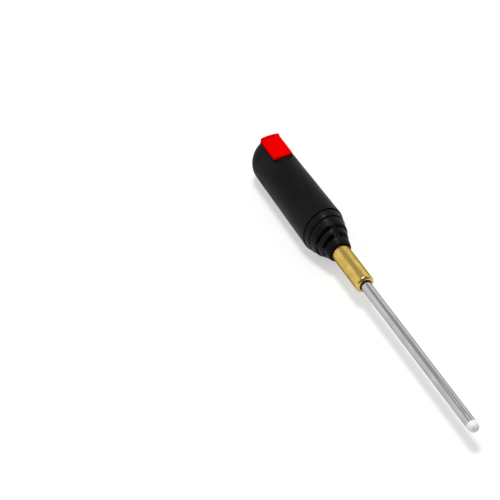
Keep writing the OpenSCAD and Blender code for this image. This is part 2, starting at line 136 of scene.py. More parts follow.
def skin(path, columns, joined_ends=False):
    """A closed skin through the rings of a path, each ring's angle running once round in equal
    steps. Rows join end to end where joined_ends is true, or end in a pole where a ring has no
    size."""
    turn = np.linspace(0, 2 * np.pi, columns, endpoint=False)[None, :]
    x, half_w, half_h, centre_z, floor = (path[:, k, None] for k in range(5))
    points = oval(x, half_w, half_h, turn, centre_z, floor)
    return points.reshape(-1, 3), cell_faces(*points.shape[:2], joined_ends, True)


def stacked(layers, centre_x, joined_ends):
    """A skin through flat loops: each layer is a loop of x and y with its heights."""
    grid = np.stack([
        np.column_stack([loop[:, 0] + centre_x, loop[:, 1], np.broadcast_to(z, len(loop))])
        for loop, z in layers
    ])
    return grid.reshape(-1, 3), cell_faces(*grid.shape[:2], joined_ends, True)


def walled(outer, inner, keep):
    """A wall between two grids of points of one layout, with the cells that keep leaves out open.
    Kept cells give a face on each grid, and each grid edge between a kept cell and an open one,
    or at the border, gives a face from the outer grid to the inner grid."""
    rows, columns = outer.shape[:2]
    count = rows * columns
    cells = cell_faces(rows, columns, False, False)[keep.ravel()]
    number = np.arange(count).reshape(rows, columns)
    side = np.pad(keep.astype(int), 1)
    along = np.argwhere(side[1:-1, 1:] != side[1:-1, :-1])
    across = np.argwhere(side[1:, 1:-1] != side[:-1, 1:-1])
    ends = [
        (number[along[:, 0], along[:, 1]], number[along[:, 0] + 1, along[:, 1]]),
        (number[across[:, 0], across[:, 1]], number[across[:, 0], across[:, 1] + 1]),
    ]
    rims = [np.stack([a, b, b + count, a + count], -1) for a, b in ends]
    faces = np.concatenate([cells, cells[:, ::-1] + count, *rims])
    return np.concatenate([outer.reshape(-1, 3), inner.reshape(-1, 3)]), faces


def joined(*solids):
    """Several solids' points and faces in one list, the faces counted on from solid to solid."""
    start = np.cumsum([0] + [len(points) for points, _ in solids])
    points = np.concatenate([p for p, _ in solids])
    return points, np.concatenate([f + s for (_, f), s in zip(solids, start)])


def spaced(*knots):
    """Values through the knots (value, steps to the next knot), evenly spaced between knots."""
    spans = [np.linspace(a, b, n, endpoint=False) for (a, n), (b, _) in zip(knots[:-1], knots[1:])]
    return np.concatenate([*spans, [knots[-1][0]]])


def placed_mesh(name, solid):
    """A mesh in its place from points and faces in shape coordinates. Double points at poles are
    merged and faces turned outwards."""
    points, faces = solid
    placed = points * MM + np.array([SHOULDER_X, 0, AXIS_Z])
    mesh = bpy.data.meshes.new(name)
    mesh.from_pydata(placed.tolist(), [], faces.tolist())
    bm = bmesh.new()
    bm.from_mesh(mesh)
    bmesh.ops.remove_doubles(bm, verts=bm.verts, dist=2e-6)
    bmesh.ops.recalc_face_normals(bm, faces=bm.faces)
    bm.to_mesh(mesh)
    bm.free()
    return mesh


def piece(name, solid, slot, body, stands_for, edge=0.0):
    """Makes a piece in the slot's finish that rides on a body in place of some nodes. An edge
    width adds a bevel."""
    mesh = placed_mesh(name, solid)
    mesh.shade_smooth()
    mesh.set_sharp_from_angle(angle=SHARP_ANGLE)
    obj = bpy.data.objects.new(name, mesh)
    bpy.context.scene.collection.objects.link(obj)
    mesh.materials.append(MATERIALS[slot])
    if edge:
        bevel = obj.modifiers.new("edge_round", "BEVEL")
        bevel.width = edge * MM
        bevel.segments = 2
        bevel.limit_method = "ANGLE"
        bevel.angle_limit = math.radians(40)
        bevel.harden_normals = True
    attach(obj, body)
    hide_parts(*stands_for)
    return obj


def carve(obj, tool, operation):
    """Joins a tool solid to obj's mesh or cuts it out of it, and leaves no tool behind."""
    cutter_mesh = placed_mesh("cutter", tool)
    cutter = bpy.data.objects.new("cutter", cutter_mesh)
    bpy.context.scene.collection.objects.link(cutter)
    cut = obj.modifiers.new("carve", "BOOLEAN")
    cut.object, cut.operation, cut.solver = cutter, operation, "EXACT"
    others = [m for m in obj.modifiers if m != cut]
    for modifier in others:
        modifier.show_viewport = False
    bm = bmesh.new()
    bm.from_object(obj, bpy.context.evaluated_depsgraph_get())
    obj.modifiers.remove(cut)
    for modifier in others:
        modifier.show_viewport = True
    bm.to_mesh(obj.data)
    bm.free()
    obj.data.set_sharp_from_angle(angle=SHARP_ANGLE)
    bpy.data.objects.remove(cutter)
    bpy.data.meshes.remove(cutter_mesh)


# --- Materials ---------------------------------------------------------------


def new_group(name, inputs, outputs):
    """An empty shader node group with named inputs (name, kind, value) and outputs."""
    tree = bpy.data.node_groups.new(name, "ShaderNodeTree")
    for label, kind, value in inputs:
        socket = tree.interface.new_socket(label, in_out="INPUT", socket_type=kind)
        socket.default_value = value
    for label in outputs:
        tree.interface.new_socket(label, in_out="OUTPUT", socket_type="NodeSocketFloat")
    return tree, tree.nodes.new("NodeGroupInput"), tree.nodes.new("NodeGroupOutput")


def feed(tree, socket, value):
    """Gives a socket a link where the value is one, and else the value itself."""
    if isinstance(value, bpy.types.NodeSocket):
        tree.links.new(value, socket)
    else:
        socket.default_value = value


def add(tree, kind, settings=None, **values):
    """A node with its settings and the values or links of its inputs, by the input's name with
    an underscore for a space."""
    node = tree.nodes.new(kind)
    for key, value in (settings or {}).items():
        setattr(node, key, value)
    for key, value in values.items():
        feed(tree, node.inputs[key.replace("_", " ")], value)
    return node


def of_two(tree, operation, first, second, **settings):
    """The value of a maths node over two links."""
    node = add(tree, "ShaderNodeMath", {"operation": operation, **settings})
    tree.links.new(first, node.inputs[0])
    tree.links.new(second, node.inputs[1])
    return node.outputs["Value"]


def span_map(tree, value, low, high, to_low=0.0, to_high=1.0):
    """value from low..high taken smoothly to to_low..to_high."""
    node = add(tree, "ShaderNodeMapRange", {"interpolation_type": "SMOOTHSTEP"}, Value=value,
               From_Min=low, From_Max=high, To_Min=to_low, To_Max=to_high)
    return node.outputs["Result"]


def on_object(tree):
    """The link that carries a point's place in object coordinates."""
    return add(tree, "ShaderNodeTexCoord").outputs["Object"]


def noise_at(tree, place, **values):
    """The value of a noise texture at a place."""
    return add(tree, "ShaderNodeTexNoise", Vector=place, **values).outputs["Fac"]


def make_patches():
    """Slow variation of tone over a surface: two sizes of noise, and sparse specks of dust."""
    tree, given, out = new_group(
        "tone_patches",
        [("Scale", "NodeSocketFloat", 60.0), ("Specks", "NodeSocketFloat", 900.0)],
        ["Patch", "Speck"],
    )
    place = on_object(tree)
    wide = noise_at(tree, place, Scale=given.outputs["Scale"], Detail=4.0, Roughness=0.6)
    tree.links.new(span_map(tree, wide, 0.36, 0.66), out.inputs["Patch"])
    fine = noise_at(tree, place, Scale=given.outputs["Specks"], Detail=1.0)
    tree.links.new(span_map(tree, fine, 0.7, 0.78), out.inputs["Speck"])
    return tree


def make_grain():
    """Fine relief: noise drawn out along each axis by Stretch, smaller for a longer grain."""
    tree, given, out = new_group(
        "surface_grain",
        [("Scale", "NodeSocketFloat", 1500.0), ("Stretch", "NodeSocketVector", (1.0, 1.0, 1.0))],
        ["Height"],
    )
    drawn = add(tree, "ShaderNodeVectorMath", {"operation": "MULTIPLY"})
    tree.links.new(on_object(tree), drawn.inputs[0])
    tree.links.new(given.outputs["Stretch"], drawn.inputs[1])
    noise = noise_at(tree, drawn.outputs["Vector"], Scale=given.outputs["Scale"], Detail=3.0,
                     Roughness=0.65)
    tree.links.new(noise, out.inputs["Height"])
    return tree


def make_wear():
    """Rubbed edges: where the surface turns sharply outwards, broken up by noise."""
    tree, given, out = new_group(
        "edge_wear",
        [("Reach", "NodeSocketFloat", 1.8), ("Breakup", "NodeSocketFloat", 700.0)],
        ["Worn"],
    )
    sharp = add(tree, "ShaderNodeNewGeometry").outputs["Pointiness"]
    noise = noise_at(tree, on_object(tree), Scale=given.outputs["Breakup"], Detail=3.0)
    edge = add(tree, "ShaderNodeMapRange", Value=sharp, From_Min=0.515,
               From_Max=given.outputs["Reach"])
    broken = of_two(tree, "MULTIPLY", edge.outputs["Result"], span_map(tree, noise, 0.35, 0.65),
                    use_clamp=True)
    tree.links.new(broken, out.inputs["Worn"])
    return tree


PATCHES, GRAIN, WEAR = make_patches(), make_grain(), make_wear()


def put(node, values):
    """Sets the values of a node's inputs by their names."""
    for label, value in values.items():
        node.inputs[label].default_value = value


def use(tree, group, **values):
    """A placed copy of a node group, with its inputs' values."""
    node = tree.nodes.new("ShaderNodeGroup")
    node.node_tree = group
    put(node, values)
    return node


def mixed(tree, share, first, second):
    """The first colour or link going to the second by share."""
    node = add(tree, "ShaderNodeMix", {"data_type": "RGBA"}, Factor=share)
    colours = {socket.name: socket for socket in node.inputs if socket.type == "RGBA"}
    for label, value in (("A", first), ("B", second)):
        feed(tree, colours[label], (*value, 1.0) if isinstance(value, tuple) else value)
    return next(socket for socket in node.outputs if socket.type == "RGBA")


def finish(name, colour, tint, worn, rough, metallic=0.0, patch=60.0, specks=900.0,
           grain=1500.0, stretch=(1.0, 1.0, 1.0), relief=0.02, specular=0.5, reach=1.8,
           coat=0.0, painted_edge_shade=1.0):
    """A material whose colour goes from colour to tint in patches and to worn at rubbed edges,
    with specks of a tone between tint and worn. Its roughness goes between the two values of
    rough, with a fine relief in mm. A smaller reach takes in softer edges as rubbed. A metal's
    painted_edge_shade value dims its reflection where it is seen edge on: painted shade that
    stands in for the darker surroundings reflected at its edges."""
    material = bpy.data.materials.new(name)
    material.use_nodes = True
    tree = material.node_tree
    shader = tree.nodes["Principled BSDF"]
    patches = use(tree, PATCHES, Scale=patch, Specks=specks)
    height = use(tree, GRAIN, Scale=grain, Stretch=stretch).outputs["Height"]
    rubbed = use(tree, WEAR, Reach=reach).outputs["Worn"]
    dust = tuple(0.7 * t + 0.3 * w for t, w in zip(tint, worn))
    base = mixed(tree, patches.outputs["Patch"], colour, tint)
    base = mixed(tree, patches.outputs["Speck"], base, dust)
    tree.links.new(mixed(tree, rubbed, base, worn), shader.inputs["Base Color"])
    roughness = span_map(tree, patches.outputs["Patch"], 0, 1, *rough)
    tree.links.new(roughness, shader.inputs["Roughness"])
    bump = add(tree, "ShaderNodeBump", Height=height, Strength=0.6, Distance=relief * MM)
    tree.links.new(bump.outputs["Normal"], shader.inputs["Normal"])
    # Specular Tint carries the painted edge shade: a metal's reflection dimmed where it is seen
    # edge on, standing in for darker surroundings reflected there.
    put(shader, {"Metallic": metallic, "Specular IOR Level": specular, "Coat Weight": coat,
                 "Specular Tint": (painted_edge_shade, painted_edge_shade, painted_edge_shade, 1.0)})
    return material


# Each finish: colour, tint, worn and rough, then the other values by name.
FINISHES = {
    "shell_black": (
        (0.0055, 0.0055, 0.006), (0.009, 0.009, 0.010), (0.035, 0.035, 0.037), (0.38, 0.5),
        dict(patch=45, grain=2600, relief=0.012, specular=0.035, reach=0.58)),
    "nose_black": (
        (0.0035, 0.0035, 0.004), (0.007, 0.0068, 0.0068), (0.045, 0.043, 0.041), (0.34, 0.46),
        dict(patch=120, grain=2200, relief=0.015, specular=0.05, reach=0.62)),
    "inner_black": (
        (0.022, 0.022, 0.024), (0.035, 0.035, 0.038), (0.07, 0.07, 0.07), (0.5, 0.62),
        dict(grain=1800, relief=0.02)),
    "seal_rubber": (
        (0.02, 0.019, 0.019), (0.035, 0.033, 0.032), (0.06, 0.06, 0.058), (0.55, 0.7),
        dict(patch=200, grain=3000, relief=0.02, specular=0.3)),
    "zinc_screw": (
        (0.62, 0.64, 0.66), (0.48, 0.5, 0.5), (0.8, 0.82, 0.84), (0.25, 0.4),
        dict(metallic=1.0, patch=400, grain=3000, relief=0.01)),
    "dark_steel": (
        (0.3, 0.3, 0.32), (0.2, 0.2, 0.21), (0.55, 0.55, 0.56), (0.3, 0.45),
        dict(metallic=1.0, patch=300, grain=2500, relief=0.01)),
    # The brass dims its edge-on reflection: painted shade for darker surroundings reflected at its
    # edges.
    "ferrule_brass": (
        (0.70, 0.50, 0.145), (0.57, 0.395, 0.10), (0.84, 0.66, 0.34), (0.16, 0.23),
        dict(metallic=1.0, patch=110, specks=1500, grain=1400, stretch=(3.0, 0.12, 0.12),
             relief=0.01, reach=0.62, painted_edge_shade=0.2)),
    # The steel tube dims its edge-on reflection: painted shade for darker surroundings reflected
    # at its edges.
    "tube_steel": (
        (0.52, 0.515, 0.53), (0.45, 0.445, 0.46), (0.7, 0.7, 0.71), (0.14, 0.2),
        dict(metallic=1.0, patch=80, specks=1500, grain=2600, stretch=(0.05, 1.0, 1.0),
             relief=0.008, reach=0.6, painted_edge_shade=0.35)),
    "tip_white": (
        (0.78, 0.775, 0.75), (0.72, 0.71, 0.68), (0.84, 0.84, 0.82), (0.35, 0.5),
        dict(patch=200, grain=2500, relief=0.01, reach=0.6)),
    "ferrite_grey": (
        (0.05, 0.05, 0.055), (0.09, 0.09, 0.095), (0.14, 0.14, 0.15), (0.5, 0.7),
        dict(patch=400, grain=5000, relief=0.03)),
    "bobbin_cream": (
        (0.72, 0.65, 0.46), (0.62, 0.54, 0.36), (0.8, 0.75, 0.6), (0.4, 0.55),
        dict(patch=200, grain=2500, relief=0.01)),
    "coil_copper": (
        (0.72, 0.30, 0.12), (0.52, 0.18, 0.07), (0.9, 0.5, 0.25), (0.22, 0.34),
        dict(metallic=1.0, patch=500, grain=5200, stretch=(1.0, 0.02, 0.02), relief=0.09)),
    "lead_red": (
        (0.55, 0.03, 0.02), (0.42, 0.02, 0.015), (0.65, 0.12, 0.1), (0.4, 0.55),
        dict(patch=300, grain=1500, relief=0.02)),
    "button_red": (
        (0.72, 0.0002, 0.0004), (0.66, 0.0002, 0.0003), (0.80, 0.008, 0.008), (0.45, 0.6),
        dict(patch=90, specks=1800, grain=2600, relief=0.012, specular=0.0, reach=0.62)),
    "spring_steel": (
        (0.55, 0.56, 0.58), (0.42, 0.43, 0.45), (0.75, 0.76, 0.78), (0.22, 0.36),
        dict(metallic=1.0, patch=500, grain=2500, relief=0.01)),
    "board_green": (
        (0.015, 0.13, 0.05), (0.03, 0.22, 0.09), (0.25, 0.4, 0.15), (0.25, 0.4),
        dict(patch=700, grain=1800, stretch=(1.0, 0.2, 1.0), relief=0.03)),
    "chip_black": (
        (0.018, 0.018, 0.02), (0.03, 0.03, 0.032), (0.3, 0.3, 0.3), (0.4, 0.55),
        dict(patch=500, grain=6000, relief=0.01)),
    "chip_tan": (
        (0.45, 0.32, 0.18), (0.55, 0.45, 0.3), (0.75, 0.75, 0.74), (0.35, 0.5),
        dict(patch=900, grain=6000, relief=0.01)),
    "can_silver": (
        (0.62, 0.63, 0.66), (0.5, 0.51, 0.54), (0.8, 0.8, 0.82), (0.18, 0.3),
        dict(metallic=1.0, patch=300, grain=2500, stretch=(1.0, 1.0, 0.1), relief=0.01)),
    "trimmer_blue": (
        (0.02, 0.1, 0.35), (0.03, 0.14, 0.42), (0.12, 0.25, 0.5), (0.35, 0.5),
        dict(patch=400, grain=3000, relief=0.01)),
    "cell_sleeve": (
        (0.03, 0.12, 0.32), (0.02, 0.09, 0.26), (0.2, 0.3, 0.45), (0.22, 0.34),
        dict(patch=90, grain=1200, stretch=(0.2, 1.0, 1.0), relief=0.01, coat=0.3)),
    "contact_nickel": (
        (0.62, 0.6, 0.55), (0.5, 0.48, 0.43), (0.78, 0.76, 0.7), (0.2, 0.34),
        dict(metallic=1.0, patch=400, grain=3000, relief=0.01)),
}
MATERIALS = {name: finish(name, *tones, **rest) for name, (*tones, rest) in FINISHES.items()}


def bare_ends(material, low, high, bare):
    """Shows bare metal on a sleeved cell's two ends: all of it within 0.3 mm of low or high along
    X, fading out by 0.5 mm."""
    tree = material.node_tree
    shader = tree.nodes["Principled BSDF"]
    along = add(tree, "ShaderNodeSeparateXYZ", Vector=on_object(tree)).outputs["X"]
    rear = span_map(tree, along, low + 0.3 * MM, low + 0.5 * MM, 1.0, 0.0)
    front = span_map(tree, along, high - 0.5 * MM, high - 0.3 * MM)
    either = of_two(tree, "MAXIMUM", rear, front)
    sleeve = shader.inputs["Base Color"].links[0].from_socket
    tree.links.new(mixed(tree, either, sleeve, bare), shader.inputs["Base Color"])
    tree.links.new(either, shader.inputs["Metallic"])


cell_low, cell_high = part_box("battery_cell")
bare_ends(MATERIALS["cell_sleeve"], cell_low.x, cell_high.x, (0.6, 0.6, 0.58))

CARRIED = {
    "inner_black": ["rear_collar", "switch_body", "buzzer_case", "motor_clip", "battery_cradle"],
    "seal_rubber": ["cap_seal", "ferrule_seal"],
    "zinc_screw": ["nose_screws", "board_screws"],
    "ferrite_grey": ["ferrite_rod"],
    "bobbin_cream": ["coil_bobbin", "lead_socket", "switch_plunger", "trimmer_rotor"],
    "coil_copper": ["search_coil"],
    "lead_red": ["coil_leads"],
    "spring_steel": ["battery_spring"],
    "board_green": ["circuit_board"],
    "chip_black": ["control_chip"],
    "chip_tan": ["small_parts"],
    "can_silver": ["capacitors", "motor_case"],
    "trimmer_blue": ["trimmer_body"],
    "ferrule_brass": ["piezo_disc"],
    "dark_steel": ["motor_shaft", "motor_weight"],
    "cell_sleeve": ["battery_cell"],
    "contact_nickel": ["front_contact", "rear_contact"],
}
for finish_name, members in CARRIED.items():
    for member in members:
        nodes[member].data.materials.clear()
        nodes[member].data.materials.append(MATERIALS[finish_name])


# --- Barrel ------------------------------------------------------------------

SEAM_BEVEL = 0.18
SCREW_PLACES = [(-4.5, -6.0), (-4.5, 6.0)]


def banded(share, first, second):
    """Angles from 0 to pi by a share from 0 to 3: evenly to first at 1, second at 2, pi at 3."""
    middle = first + (share - 1) * (second - first)
    last = second + (share - 2) * (np.pi - second)
    return np.where(share < 1, share * first, np.where(share > 2, last, middle))


def upper_shell():
    """The barrel's upper half with the button's opening. Rows are stations and columns angles. Two
    columns follow the opening's sides at the angle whose cosine is the opening's half width over
    the section's, and the opening has a round corner and is straight across at the front. The
    inner grid is the same one on a section that is a wall's thickness smaller."""
    front, half_opening, corner = -56.4, 6.9, 1.1
    side_columns, top_columns = 44, 22
    bend = np.linspace(0, np.pi / 2, 9)[1:-1]
    ahead = spaced((0.0, 94), (front, 0))
    behind = spaced((front - corner, 31), (DOME_X, 14), (SEAM, 0))
    x = np.concatenate([ahead, front - corner * (1 - np.cos(bend)), behind])
    opening = np.concatenate([
        np.full(len(ahead), half_opening - corner),
        half_opening - corner * (1 - np.sin(bend)),
        np.full(len(behind), half_opening),
    ])
    half_w, half_h = barrel_half(x)
    share = spaced((0.0, side_columns), (1.0, top_columns), (2.0, side_columns), (3.0, 0))

    def half_shell(inset):
        wide, high = (half_w - inset)[:, None], (half_h - inset)[:, None]
        side = np.arccos(opening[:, None] / wide)
        return oval(x[:, None], wide, high, banded(share, side, np.pi - side))

    keep = np.ones((len(x) - 1, len(share) - 1), bool)
    keep[len(ahead) - 1 :, side_columns : side_columns + top_columns] = False
    return walled(half_shell(0), half_shell(WALL), keep)


def lower_shell():
    """The barrel's lower half with four sound slots. Rows are stations with a line at each slot's
    edges, columns are angles from the left seam round the belly to the right seam, and two of them
    run at the slots' ends, the angle's sine being the depth over the half height."""
    slot_starts, slot_width = [-66.0 + 3 * k for k in range(4)], 1.2
    slot_top, slot_low = 0.9, 5.9
    above_columns, slot_columns = 4, 12
    knots = [(0.0, 84)]
    for start in reversed(slot_starts):
        knots += [(start + slot_width, 3), (start, 4)]
    x = spaced(*knots, (DOME_X, 14), (SEAM, 0))
    half_w, half_h = barrel_half(x)
    share = spaced((0.0, above_columns), (1.0, slot_columns), (2.0, 110), (3.0, 0))

    def half_shell(inset):
        wide, high = (half_w - inset)[:, None], (half_h - inset)[:, None]
        turn = banded(share, np.arcsin(slot_top / high), np.arcsin(slot_low / high))
        return oval(x[:, None], wide, high, np.pi + turn, 0.0, BELLY + inset)

    keep = np.ones((len(x) - 1, len(share) - 1), bool)
    middle = (x[1:] + x[:-1]) / 2
    in_slot = np.any([(middle > s) & (middle < s + slot_width) for s in slot_starts], axis=0)
    keep[np.ix_(in_slot, np.arange(above_columns, above_columns + slot_columns))] = False
    return walled(half_shell(0), half_shell(WALL), keep)


def rear_cap():
    """The rear dome, its flat joint face and the round spigot behind the seal, as one ring path:
    oval rings from the rear pole to the joint face, then circles about the cell's axis."""
    face, groove, front = -78.6, (-76.9, -75.7), -74.1
    spigot_r, groove_r, bore_r = 9.15, 8.1, 7.85
    bore_end = -81.5
    first_turn = np.arcsin((DOME_X - face) / DOME_R)
    x = DOME_X - DOME_R * np.sin(np.linspace(np.pi / 2, first_turn, 30))
    half_w, half_h = barrel_half(x)
    grow = np.linspace(0, 1, 6)[:-1]
    rear = ring_path(x[0], half_w[0] * grow, half_h[0] * grow)
    dome = ring_path(x, half_w, half_h)
    station, radius = np.array([
        (face, spigot_r), (groove[0], spigot_r), (groove[0], groove_r), (groove[1], groove_r),
        (groove[1], spigot_r), (front, spigot_r), (front, bore_r), (bore_end, bore_r),
        (bore_end, 0),
    ]).T
    spigot = ring_path(station, radius, radius, CELL_Z)
    ends = soften(np.concatenate([dome[-2:], spigot]), 0.2, 4)
    return skin(np.concatenate([rear, dome[:-2], ends]), 144)


def belly_rounds(at, radius, low, high):
    """Upright cylinders at each (station, y) of at, between two heights over the flat belly."""
    turn = np.linspace(0, 2 * np.pi, 48, endpoint=False)
    circle = radius * np.stack([np.cos(turn), np.sin(turn)], -1)
    floor, top = BELLY + low, BELLY + high
    layers = [(0 * circle, floor), (circle, floor), (circle, top), (0 * circle, top)]
    points, faces = stacked(layers, 0, False)
    return joined(*[(points + np.array([x, y, 0]), faces) for x, y in at])


lower = piece("lower_barrel_half", lower_shell(), "shell_black", "housing", ["lower_shell"],
              SEAM_BEVEL)
# Low pads that carry the flat belly out round the screw heads, then the heads' recesses.
carve(lower, belly_rounds(SCREW_PLACES, 2.9, 0.05, 1.85), "UNION")
carve(lower, belly_rounds(SCREW_PLACES, 2.2, -1.0, 1.0), "DIFFERENCE")
piece("upper_barrel_half", upper_shell(), "shell_black", "housing", ["upper_shell"], SEAM_BEVEL)
piece("domed_rear_cap", rear_cap(), "shell_black", "cap", ["rear_cap"])


# --- Nose --------------------------------------------------------------------

RIB_STARTS, RIB_ENDS = (0.6, 6.0, 13.3, 19.2), (5.4, 11.3, 16.5, 23.4)
RIB_WIDE, RIB_NARROW = (27.9, 25.8, 21.2, 17.6), (26.6, 23.6, 19.4, 15.6)
NOSE_END = RIB_ENDS[-1]
STEP_X = 9.0  # where the bore steps from the coil leads' width to the ferrule's


def ribbed_nose():
    """The nose as one ring path through four ribs: straight tapers between the rib widths, thin
    grooves about 1 mm deep before the first two ribs and grooves down to a width of 14 before the
    others, then the collar's face, the bore for the ferrule and the spigot inside the shells."""
    spigot_x, spigot_floor = -9.0, -13.65
    lead_bore, ferrule_bore, deep = 8.0, 11.3, 14.0

    def thin(x):
        return x, 25.9 - 4.3 * x / RIB_ENDS[1], BELLY

    path = [(spigot_x, lead_bore, spigot_floor), (spigot_x, 24.5, spigot_floor),
            (-0.05, 24.7, spigot_floor), thin(0.0), thin(RIB_STARTS[0])]
    for k in range(4):
        path += [(RIB_STARTS[k], RIB_WIDE[k], BELLY), (RIB_ENDS[k], RIB_NARROW[k], BELLY)]
        if k == 0:
            path += [thin(RIB_ENDS[0]), thin(RIB_STARTS[1])]
        elif k < 3:
            path += [(RIB_ENDS[k], deep, BELLY), (RIB_STARTS[k + 1], deep, BELLY)]
    path += [(NOSE_END, ferrule_bore, BELLY), (STEP_X, ferrule_bore, BELLY),
             (STEP_X, lead_bore, BELLY), (spigot_x, lead_bore, spigot_floor)]
    x, width, floor = np.array(path).T
    rings = soften(ring_path(x, *nose_half(width), 0.0, floor), 0.3, 4)
    return skin(rings[:-1], 240, True)


def web(groove, quarter):
    """A bridge over the deep groove behind a rib: 3.2 mm wide, its top 0.05 under the line between
    the two ribs' sections and its underside 6.6 from the axis. The four bridges of a groove stand
    at quarter turns round the axis, the first and third at the sides."""
    x = np.linspace(RIB_ENDS[groove] - 0.1, RIB_STARTS[groove + 1] + 0.1, 5)[:, None]
    width = np.linspace(RIB_NARROW[groove], RIB_WIDE[groove + 1], 5)[:, None]
    across = np.linspace(-1.6, 1.6, 9)[None, :]
    half_w, half_h = nose_half(width)
    upright, sign = quarter % 2, 1 if quarter < 2 else -1
    out, span = (half_h, half_w) if upright else (half_w, half_h)

    def grid(away):
        y, z = (across, sign * away) if upright else (sign * away, across)
        return np.stack(np.broadcast_arrays(x, y, z), -1)

    top = (out - 0.05) * np.sqrt(1 - (across / span) ** 2)
    return walled(grid(top), grid(6.6 + 0 * top), np.ones((4, 8), bool))


webs = [web(groove, quarter) for groove in (1, 2) for quarter in range(4)]
piece("ribbed_nose", joined(ribbed_nose(), *webs), "nose_black", "housing", ["stepped_nose"])


# --- Ferrule, tube and tip ---------------------------------------------------

FERRULE_R, BUSH_R, BUSH_END = 6.2, 4.8, 55.0
TUBE_R, TUBE_BORE, TUBE_END = 3.5, 3.1, 185.2


def turned(path, columns, cut, joined_ends=True):
    """A skin of circles about the axis through stations and radii, its corners softened."""
    x, r = np.array(path, float).T
    rings = soften(ring_path(x, r, r, 0.0, NO_FLOOR), cut)
    return skin(rings[:-1] if joined_ends else rings, columns, joined_ends)


def end_round(start, radius, edge):
    """Stations and radii of a quarter round that starts at a radius, short of its last point."""
    quarter = np.linspace(0, np.pi / 2, 12)[:-1]
    return [(start + edge * math.sin(a), radius - edge * (1 - math.cos(a))) for a in quarter]


def sleeve(start, end, inner, outer):
    """Stations and radii of a plain tube's section, from the inner rear corner and back to it."""
    return [(start, inner), (start, outer), (end, outer), (end, inner), (start, inner)]


ferrule_path = [
    (STEP_X, BUSH_R), (STEP_X, 5.6), (NOSE_END, 5.6), (NOSE_END, FERRULE_R), (30.0, FERRULE_R),
    (40.0, FERRULE_R), *end_round(54.9, FERRULE_R, 2.1), (56.99, 4.1), (BUSH_END, 4.1),
    (BUSH_END, BUSH_R), (STEP_X, BUSH_R),
]
tip_path = [
    (181.2, 0.0), (181.2, TUBE_BORE), (TUBE_END, TUBE_BORE), (TUBE_END, TUBE_R),
    *end_round(187.5, TUBE_R, TUBE_R), (191.0, 0.0),
]
piece("brass_sleeve", turned(ferrule_path, 144, 0.25), "ferrule_brass", "housing",
      ["brass_ferrule"])
piece("sleeve_bush", turned(sleeve(11.0, BUSH_END, TUBE_R, BUSH_R), 96, 0.3), "inner_black",
      "housing", ["ferrule_bush"])
piece("steel_probe_tube", turned(sleeve(13.0, TUBE_END, TUBE_BORE, TUBE_R), 128, 0.12),
      "tube_steel", "housing", ["probe_tube"])
piece("rounded_tip", turned(tip_path, 96, 0.12, False), "tip_white", "housing", ["tip_cap"])


# --- Thumb button ------------------------------------------------------------

BUTTON_X = -67.45  # the middle of the button and of its seat
BUTTON_HALF = (10.85, 6.7, 0.9)  # half length, half width and corner radius
SEAT_HALF = (10.95, 6.8, 1.0)
SEAT_LOW, WELL_FLOOR, SEAT_TOP = 12.8, 13.6, 15.9
STEM_LOW, UNDERSIDE, PAD_Z, LIP_Z = 12.5, 16.7, 18.7, 19.8


def outline(half_x, half_y, corner):
    """Points round a rectangle with round corners, counted the same way for every size: each
    quarter has a straight half side, an arc of equal angle steps and a straight half side."""
    arc = np.linspace(0, np.pi / 2, 9)
    rise = np.linspace(0, 1, 7)[:-1]
    inner_x, inner_y = half_x - corner, half_y - corner
    x = np.concatenate([np.full(6, half_x), half_x - corner * (1 - np.cos(arc)),
                        inner_x * (1 - rise[1:])])
    y = np.concatenate([inner_y * rise, half_y - corner * (1 - np.sin(arc)), np.full(5, half_y)])
    first = np.stack([x, y], -1)
    second = first[::-1] * np.array([-1, 1])
    half = np.concatenate([first, [[0, half_y]], second])
    return np.concatenate([half, -half])


def drawn_in(half, inset):
    """The outline of a rectangle whose half sizes and corner radius are smaller by inset."""
    return outline(*(size - inset for size in half))


def disc(radius, half):
    """A circle whose points lie in the directions of the outline's points, seen on a square."""
    points = outline(*half) / np.array(half[:2])
    return radius * points / np.linalg.norm(points, axis=1, keepdims=True)


def pad_top(x):
    """Height of the button's top: flat, then within 3.6 mm of the seat's rear end a hollow arc
    that rises to the lip, which is flat over its last 1 mm."""
    arc_r, arc_length, lip_length = 3.6227, 3.6, 1.0
    seat_rear = BUTTON_X - SEAT_HALF[0]
    near = np.clip(arc_length - (x - seat_rear), 0, arc_length - lip_length)
    return np.minimum(LIP_Z, PAD_Z + arc_r - np.sqrt(arc_r**2 - near**2))


def thumb_button():
    """The pad and its stem as one skin: the stem's foot, the stem, the underside, the side, a
    quarter round at the top edge, then loops of the same outline drawn in to the middle. The rear
    end is bowed: points move forward by 0.9 * back^6 * (y / half width)^2, where back goes from 0
    in the middle to 1 at the rear end."""
    edge = 0.45
    half_x, half_y, _ = BUTTON_HALF

    def at(loop, drop=0.0):
        return loop, pad_top(loop[:, 0] + BUTTON_X) - drop

    stem = [(0.0, STEM_LOW), (1.25, STEM_LOW), (1.4, 12.7), (1.4, 16.5), (1.6, UNDERSIDE),
            (3.0, UNDERSIDE)]
    full = outline(*BUTTON_HALF)
    layers = [(disc(radius, BUTTON_HALF), z) for radius, z in stem]
    layers += [(drawn_in(BUTTON_HALF, 0.12), UNDERSIDE), (full, UNDERSIDE + 0.12), (full, 17.0)]
    layers += [at(full, drop) for drop in (1.3, 1.0, 0.6)]
    for a in np.linspace(0, np.pi / 2, 7):
        loop = drawn_in(BUTTON_HALF, edge * (1 - math.cos(a)))
        layers.append(at(loop, edge * (1 - math.sin(a))))
    top = drawn_in(BUTTON_HALF, edge)
    layers += [at(top * s) for s in np.linspace(1, 0, 44)[1:]]
    points, faces = stacked(layers, BUTTON_X, False)
    back = np.clip((BUTTON_X - points[:, 0]) / half_x, 0, 1)
    points[:, 0] += 0.9 * back**6 * (points[:, 1] / half_y) ** 2
    return points, faces


